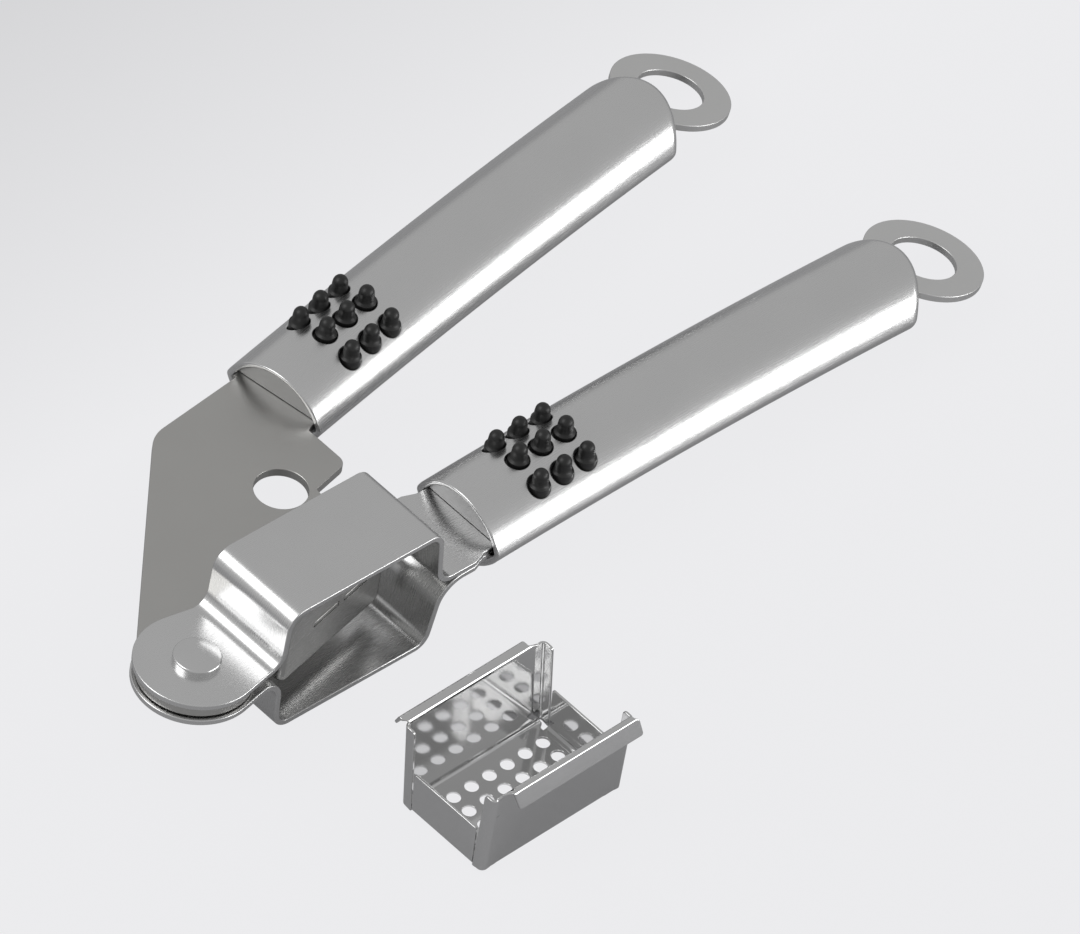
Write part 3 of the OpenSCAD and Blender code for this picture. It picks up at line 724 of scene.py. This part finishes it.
def makeFoot():
    # a shallow pressed tray: flat face, edges turned back all round
    x0, x1 = foot["near"], foot["near"] + foot["length"]
    half, sheet, drop = foot["width"] / 2, foot["sheet"], foot["drop"]
    corner, r = 2.2, foot["bend"]
    # stations round the curled edge: (inset, depth, tilt) of the outside face, then of the inside face
    profile = [(0.0, foot["rim"], 90.0)]
    for a in np.linspace(0, 90, 7)[::-1]:
        profile.append((r - r * math.sin(math.radians(a)), r - r * math.cos(math.radians(a)), a))
    inside = [(sheet, foot["rim"], 90.0)]
    for e, d, a in profile[1:]:
        inside.append((e + sheet * math.sin(math.radians(a)), d + sheet * math.cos(math.radians(a)), a))
    xm = (x0 + x1) / 2

    def loopAt(inset):
        w, h = (x1 - x0) / 2 - inset, half - inset
        r = max(0.25, corner - inset)
        return roundedLoop([(xm - w, -h), (xm + w, -h), (xm + w, h), (xm - w, h)], [r] * 4, 6)

    loops, depths, tilts = [], [], []
    for e, d, a in profile:
        loops.append(loopAt(e)), depths.append(d), tilts.append((a, 1))
    for e, d, a in inside[::-1]:
        loops.append(loopAt(e)), depths.append(d), tilts.append((a, -1))
    n = len(loops[0])
    pts, normals, uv = [], [], []
    for loop, d, (a, s) in zip(loops, depths, tilts):
        side, _ = loopNormals(loop, True)
        c, q = math.sin(math.radians(a)), math.cos(math.radians(a))
        pts.append(np.stack([loop[:, 0], np.full(n, -drop + d), loop[:, 1]], 1))
        normals.append(s * np.stack([side[:, 0] * c, np.full(n, -q), side[:, 1] * c], 1))
        uv.append(loop)
    faces = []
    order = len(profile)
    for k in range(len(loops)):
        k2 = (k + 1) % len(loops)
        if k == order - 1:
            continue
        for i in range(n):
            j = (i + 1) % n
            faces.append((k * n + i, k * n + j, k2 * n + j, k2 * n + i))
    points, normals, uv = np.vstack(pts), np.vstack(normals), np.vstack(uv)
    flat = loops[order - 1]
    slots = []
    for start in foot["slots"]:
        a, b, high = x0 + start - 0.15, x0 + start + foot["slotLength"] + 0.15, 0.75
        slots.append(roundedLoop([(a, -high), (b, -high), (b, high), (a, high)], [0.3] * 4, 3))

    def place(s, v):
        m = len(s)
        return (np.stack([s, np.full(m, -drop + sheet / 2), v], 1), np.tile([1.0, 0, 0], (m, 1)),
                np.tile([0, 0, 1.0], (m, 1)), np.tile([0, -1.0, 0], (m, 1)))

    face = sheetParts(flat, slots, [], [], sheet, 0.02, place)
    tray = (points, faces, normals, uv)
    sheetPiece("plunger_foot", [face, tray], movingRoot, footSteel, "press_arm")


makePlate()
makeFoot()
print("plate and foot ready")


handle = {"length": 116.0, "width": 23.8, "height": 16.6, "arch": 1.6, "wall": 0.8, "tail": 17.5,
          "edge": 0.36, "side": 1.5, "bead": 0.75, "curl": 2.2, "curlTurn": 72}
cap = {"middle": 1.6, "sheet": 1.2, "sunk": 0.7}
ring = {"radius": 12.4, "hole": 6.8, "sheet": 1.5, "droop": 14.5, "reach": 7.2, "level": 2.3,
        "tongue": 13.0, "edge": 0.2}
nub = {"pitchX": 6.0, "pitchY": 6.4, "radius": 1.65, "height": 3.9, "x": 20.6, "flare": 0.5, "gap": 0.22,
       "pad": 1.2}
archRadius = (handle["length"] ** 2 / 4 + handle["arch"] ** 2) / (2 * handle["arch"])
archDrop = math.sqrt(archRadius ** 2 - handle["length"] ** 2 / 4)
tailCentre = handle["length"] - handle["tail"]


def archAt(x):
    return np.sqrt(archRadius ** 2 - (x - handle["length"] / 2) ** 2) - archDrop


class Oval:
    # the section's outline pulled in by a distance: two flat arcs joined by small side arcs
    def __init__(self, inset):
        lens = (handle["width"] ** 2 / 4 + handle["height"] ** 2 / 4) / handle["height"]
        sink = lens - handle["height"] / 2
        r, side = lens - inset, max(0.15, handle["side"] - inset)
        reach = math.sqrt((r - side) ** 2 - sink ** 2)
        # side arc centre sits where both flat arcs are one side radius away
        turn = math.atan2(reach, sink)
        pts, nrm = [], []
        arcs = [(math.pi, math.pi - turn, 24, r, 0, sink), (math.pi - turn, turn, 13, side, -reach, 0),
                (turn, -turn, 47, r, 0, -sink), (-turn, -math.pi + turn, 13, side, reach, 0),
                (-math.pi + turn, -math.pi, 24, r, 0, sink)]
        for k, (start, stop, count, radius, y, z) in enumerate(arcs):
            last = k == len(arcs) - 1
            for a in np.linspace(start, stop, count)[:None if last else -1]:
                pts.append((y - radius * math.sin(a), z + radius * math.cos(a)))
                nrm.append((-math.sin(a), math.cos(a)))
        self.points, self.normals = np.array(pts), np.array(nrm)
        step = np.linalg.norm(np.diff(self.points, axis=0), axis=1)
        self.v = np.concatenate([[0], np.cumsum(step)])
        self.length = self.v[-1]
        self.v -= self.length / 2

    def at(self, v):
        p = np.stack([np.interp(v, self.v, self.points[:, k]) for k in (0, 1)], 1)
        n = np.stack([np.interp(v, self.v, self.normals[:, k]) for k in (0, 1)], 1)
        return p, n / np.linalg.norm(n, axis=1)[:, None]


tubeMiddle = Oval(handle["wall"] / 2)


def tailAt(oval, v):
    # how far back the rounded tail reaches at each place round the section
    y = np.interp(v, oval.v, oval.points[:, 0])
    return tailCentre + np.sqrt(np.maximum(handle["tail"] ** 2 - y ** 2, 0))


def curledPlace(oval):
    # the arched sheet, with its last stretch rolled inwards round the tail
    plain, curl = archPlace(oval), handle["curl"]

    def place(s, v):
        start = tailAt(oval, v) - curl
        angle = np.maximum(s - start, 0) / curl
        base, along, aside, normal = plain(np.minimum(s, start), v)
        c, q = np.cos(angle)[:, None], np.sin(angle)[:, None]
        base = base + along * q * curl - normal * (1 - c) * curl
        return base, along * c - normal * q, aside, normal * c + along * q
    return place


def archPlace(oval):
    def place(s, v):
        p, n = oval.at(v)
        lift = archAt(s)
        slopeOf = -(s - handle["length"] / 2) / archRadius
        along = np.stack([np.sqrt(1 - slopeOf ** 2), np.zeros(len(s)), slopeOf], 1)
        upward = np.stack([-slopeOf, np.zeros(len(s)), np.sqrt(1 - slopeOf ** 2)], 1)
        base = np.stack([s, p[:, 0], lift], 1) + upward * p[:, 1:]
        normal = upward * n[:, 1:] + np.stack([np.zeros(len(s)), n[:, 0], np.zeros(len(s))], 1)
        return base, along, np.cross(normal, along), normal
    return place


def topV(oval, y):
    # where on the oval's upper side the sideways position y lies
    upper = oval.points[:, 1] > 0
    return np.interp(y, oval.points[upper, 0], oval.v[upper])


def nubSpots():
    return [(nub["x"] + i * nub["pitchX"], j * nub["pitchY"]) for i in (-1, 0, 1) for j in (-1, 0, 1)]


def makeTube(name, frameOf, body):
    oval = tubeMiddle
    half = oval.length / 2
    vs = oval.v
    tail = tailAt(oval, vs) + handle["curl"] * (math.radians(handle["curlTurn"]) - 1)
    front = np.stack([np.zeros(len(vs)), vs[::-1]], 1)
    back = np.stack([tail, vs], 1)

    def keep(p):
        limit = np.interp(p[:, 1], vs, tail)
        return (p[:, 0] > 0.3) & (p[:, 0] < limit - 0.3)

    holes = []
    for x, across in nubSpots():
        v = float(topV(oval, across))
        holes.append(circle(x, v, nub["radius"] + nub["flare"] + nub["gap"], 30))
    stations = np.concatenate([np.linspace(2, 10, 7), np.linspace(12, 30, 24), np.linspace(33, 106, 46)])
    curlRows = [(t - k * 0.32, v) for t, v in zip(tail, vs) for k in range(1, 10)]
    part = sheetParts([front, back], holes, stations, vs, handle["wall"], handle["edge"], curledPlace(oval),
                      wrap=oval.length, keep=keep, extra=curlRows)
    # rolled bead inside the front rim
    bead = handle["bead"]
    rim = Oval(bead)
    count, turns = len(rim.v) - 1, 12
    p, n = rim.points[:-1], rim.normals[:-1]
    pts, normals, uv = [], [], []
    for k in range(turns):
        a = 2 * math.pi * k / turns
        radial = math.cos(a) * bead
        x = np.full(count, bead * 0.9 - 0.05 - math.sin(a) * bead)
        pts.append(np.stack([x, p[:, 0] + n[:, 0] * radial, p[:, 1] + n[:, 1] * radial], 1))
        c, s = math.cos(a), math.sin(a)
        normals.append(np.stack([np.full(count, -s), n[:, 0] * c, n[:, 1] * c], 1))
        uv.append(np.stack([rim.v[:-1], np.full(count, k * 0.3)], 1))
    faces = []
    for k in range(turns):
        for i in range(count):
            j, k2 = (i + 1) % count, (k + 1) % turns
            faces.append((k * count + i, k * count + j, k2 * count + j, k2 * count + i))
    roll = (np.vstack(pts), faces, np.vstack(normals), np.vstack(uv))
    sheetPiece(name, [part, roll], frameOf, handleSteel, body)


def makeFrontCap(name, frameOf, body, thickness):
    # an oval plate across the tube, just inside the rim, with a slot for the tang
    loop = Oval(handle["wall"] - 0.1).points[:-1][::-1]
    wide, high = strap["tang"] / 2 + 0.05, thickness / 2 + 0.1
    slot = roundedLoop([(-wide, -high), (wide, -high), (wide, high), (-wide, high)], [0.3] * 4, 3)
    if signedArea(loop) < 0:
        loop = loop[::-1]

    def place(s, v):
        n = len(s)
        return (np.stack([np.full(n, cap["middle"]), -s, v], 1), np.tile([0, -1.0, 0], (n, 1)),
                np.tile([0, 0, 1.0], (n, 1)), np.tile([-1.0, 0, 0], (n, 1)))

    part = sheetParts(loop, [slot], [], [], cap["sheet"], 0.1, place)
    sheetPiece(name, [part], frameOf, capSteel, body)


def makeRearCap(name, frameOf, body):
    # a curved end plate set just inside the tail; the ring's tongue goes through it
    inner = Oval(handle["wall"] + 0.1)
    n = len(inner.v) - 1
    rows = 12
    pts, normals, uv = [], [], []
    for k in range(rows + 1):
        f = 1 - k / rows
        y, z = inner.points[:-1, 0] * f, inner.points[:-1, 1] * f
        x = tailCentre + np.sqrt((handle["tail"] - cap["sunk"]) ** 2 - y ** 2)
        pts.append(np.stack([x, y, z + archAt(x)], 1))
        side = y / handle["tail"]
        normals.append(np.stack([np.sqrt(np.maximum(1 - side ** 2, 0)), side, np.zeros(n)], 1))
        uv.append(np.stack([y, z], 1))
    faces = []
    for k in range(rows):
        for i in range(n):
            j = (i + 1) % n
            faces.append((k * n + i, (k + 1) * n + i, (k + 1) * n + j, k * n + j))
    shell = (np.vstack(pts), faces, np.vstack(normals), np.vstack(uv))
    sheetPiece(name, [shell], frameOf, capSteel, body)


def makeRing(name, frameOf, body):
    reach, r, tongue = ring["reach"] + 10, ring["radius"], ring["tongue"] / 2
    a = math.asin(tongue / r)
    arc = np.linspace(-math.pi + a, math.pi - a, 84)
    loop = np.vstack([np.stack([r * np.cos(arc), r * np.sin(arc)], 1), [(-reach, tongue), (-reach, -tongue)]])
    hole = circle(0, 0, ring["hole"], 72)
    points, faces, normals, uv = sheetParts(loop, [hole], [], [], ring["sheet"], ring["edge"], flatPlace())
    droop = turnY(ring["droop"])
    lift = ring["level"] - ring["reach"] * math.tan(math.radians(ring["droop"]))
    points = points @ droop.T + [handle["length"] + ring["reach"], 0, lift]
    sheetPiece(name, [(points, faces, normals @ droop.T, uv)], frameOf, ringSteel, body)


def makePad(name, frameOf, body):
    # nine round-ended nubs with flared roots, on a pad hidden in the tube
    parts = []
    r, h, flare = nub["radius"], nub["height"], nub["flare"]
    for x, across in nubSpots():
        lens = (handle["width"] ** 2 / 4 + handle["height"] ** 2 / 4) / handle["height"]
        z = float(archAt(np.array([x]))[0]) + math.sqrt(lens ** 2 - across ** 2)
        z -= lens - handle["height"] / 2
        prof = [(r + flare, -1.6, 1, 0), (r + flare, 0.02, 1, 0)]
        for a in np.linspace(0, 90, 6):
            c, s = math.cos(math.radians(a)), math.sin(math.radians(a))
            out = r + 0.02 + (flare - 0.02) * (1 - s)
            prof.append((out, 0.1 + 0.5 * (1 - c), math.sin(math.radians(90 - a)) * 0.8 + 0.2, 0.9 * c + 0.1))
        prof.append((r - 0.05, h * 0.5, 1, 0.02))
        for a in np.linspace(0, 86, 9):
            c, s = math.cos(math.radians(a)), math.sin(math.radians(a))
            prof.append(((r - 0.1) * c, h - r + r * s, c, s))
        prof = [(p[0], p[1], p[2] / math.hypot(p[2], p[3]), p[3] / math.hypot(p[2], p[3])) for p in prof]
        parts.append(turned(prof, 28, (x, across, z)))
    low, high = nub["x"] - nub["pitchX"] - 3, nub["x"] + nub["pitchX"] + 3
    oval = Oval(handle["wall"] + 0.1 + nub["pad"] / 2)
    wide = nub["pitchY"] + 2.2
    v = [float(topV(oval, y)) for y in (-wide, wide)]
    loop = denser(roundedLoop([(low, v[0]), (high, v[0]), (high, v[1]), (low, v[1])], [1.5] * 4, 4), 1.5)
    stations, rows = np.linspace(low + 1, high - 1, 12), np.linspace(v[0] + 1, v[1] - 1, 14)
    parts.append(sheetParts(loop, [], stations, rows, nub["pad"], 0.3, archPlace(oval)))
    sheetPiece(name, parts, frameOf, rubberBlack, body)


for prefix, frameOf, body, thickness in (("fixed_handle", fixedFrame, "fixed_arm", 2 * strap["sheet"]),
                                         ("press_handle", movingFrame, "press_arm", plate["sheet"])):
    makeTube(prefix + "_tube", frameOf, body)
    makeFrontCap(prefix + "_front_cap", frameOf, body, thickness)
    makeRearCap(prefix + "_rear_cap", frameOf, body)
    makeRing(prefix + "_hang_ring", frameOf, body)
    makePad(prefix + "_grip_pad", frameOf, body)
    slots = frame["nodes"][prefix + "_core"].data.materials
    slots.clear()
    slots.append(fillerBlack)
print("handles ready")


def tableMaterial(name, paintedReflectionShare):
    mat = bpy.data.materials.new(name)
    mat.use_nodes = True
    nodes, links = mat.node_tree.nodes, mat.node_tree.links
    nodes.clear()
    out = nodes.new("ShaderNodeOutputMaterial")
    paper = nodes.new("ShaderNodeBsdfDiffuse")
    paper.inputs["Color"].default_value = (0.34, 0.34, 0.345, 1)
    where = nodes.new("ShaderNodeTexCoord")
    apart = nodes.new("ShaderNodeSeparateXYZ")
    links.new(where.outputs["Object"], apart.inputs["Vector"])
    # painted light: to the camera the floor glows pale, strongest at low Y and dimmer further back, a painted
    # fall-off of light
    paintedFalloff = nodes.new("ShaderNodeMapRange")
    paintedFalloff.inputs["From Min"].default_value = 0.06
    paintedFalloff.inputs["From Max"].default_value = 0.2
    paintedFalloff.inputs["To Min"].default_value = 0.9
    paintedFalloff.inputs["To Max"].default_value = 0.66
    links.new(apart.outputs["Y"], paintedFalloff.inputs["Value"])
    paintedGlow = nodes.new("ShaderNodeEmission")
    paintedGlow.inputs["Color"].default_value = (1.0, 1.0, 1.02, 1)
    links.new(paintedFalloff.outputs["Result"], paintedGlow.inputs["Strength"])
    seen = nodes.new("ShaderNodeLightPath")
    straight = nodes.new("ShaderNodeMath")
    straight.operation = "MULTIPLY"
    straight.inputs[1].default_value = 0.9
    links.new(seen.outputs["Is Camera Ray"], straight.inputs[0])
    # painted reflection: glossy rays see the floor glow by the given share, so it shows brighter in the steel
    # than the lamps light it
    mirrored = nodes.new("ShaderNodeMath")
    mirrored.operation = "MULTIPLY_ADD"
    mirrored.inputs[1].default_value = paintedReflectionShare
    links.new(seen.outputs["Is Glossy Ray"], mirrored.inputs[0])
    links.new(straight.outputs[0], mirrored.inputs[2])
    mix = nodes.new("ShaderNodeMixShader")
    links.new(mirrored.outputs[0], mix.inputs["Fac"])
    links.new(paper.outputs[0], mix.inputs[1])
    links.new(paintedGlow.outputs[0], mix.inputs[2])
    links.new(mix.outputs[0], out.inputs["Surface"])
    return mat


def makeStage():
    # one flat table; the square the basket stands on glows strongly to glossy rays, a painted reflection that
    # shines back bright through the basket's holes in its mirror walls; the rest of the table glows a little
    # to glossy rays, also a painted reflection
    low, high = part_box("sieve_basket")
    far, tuck = 3.0, 0.004
    corners = [(-far, -far, 0), (far, -far, 0), (far, far, 0), (-far, far, 0),
               (low[0] + tuck, low[1] + tuck, 0), (high[0] - tuck, low[1] + tuck, 0),
               (high[0] - tuck, high[1] - tuck, 0), (low[0] + tuck, high[1] - tuck, 0)]
    mesh = bpy.data.meshes.new("table")
    around = [(k, (k + 1) % 4, 4 + (k + 1) % 4, 4 + k) for k in range(4)]
    mesh.from_pydata(corners, [], [(4, 5, 6, 7)] + around)
    mesh.materials.append(tableMaterial("glowing_patch", 0.9))
    mesh.materials.append(tableMaterial("table", 0.15))
    for face in mesh.polygons:
        face.material_index = min(face.index, 1)
    table = bpy.data.objects.new("table", mesh)
    bpy.context.scene.collection.objects.link(table)


def areaLight(name, position, target, size, power):
    data = bpy.data.lights.new(name, "AREA")
    data.shape = "RECTANGLE"
    data.size, data.size_y = size
    data.energy = power
    obj = bpy.data.objects.new(name, data)
    obj.location = position
    obj.rotation_euler = (Vector(target) - Vector(position)).to_track_quat("-Z", "Y").to_euler()
    bpy.context.scene.collection.objects.link(obj)


def makeLight():
    world = bpy.data.worlds.new("studio")
    bpy.context.scene.world = world
    world.use_nodes = True
    back = world.node_tree.nodes["Background"]
    back.inputs["Color"].default_value = (0.5, 0.5, 0.5, 1)
    back.inputs["Strength"].default_value = 1.0
    areaLight("high", (-0.9, 0.55, 1.1), (0, 0, 0), (0.9, 0.9), 7)
    areaLight("low", (0.78, -1.12, 0.27), (0, 0, 0.02), (1.3, 0.36), 8)


makeStage()
makeLight()
scene = bpy.context.scene
scene.view_settings.view_transform = "Standard"
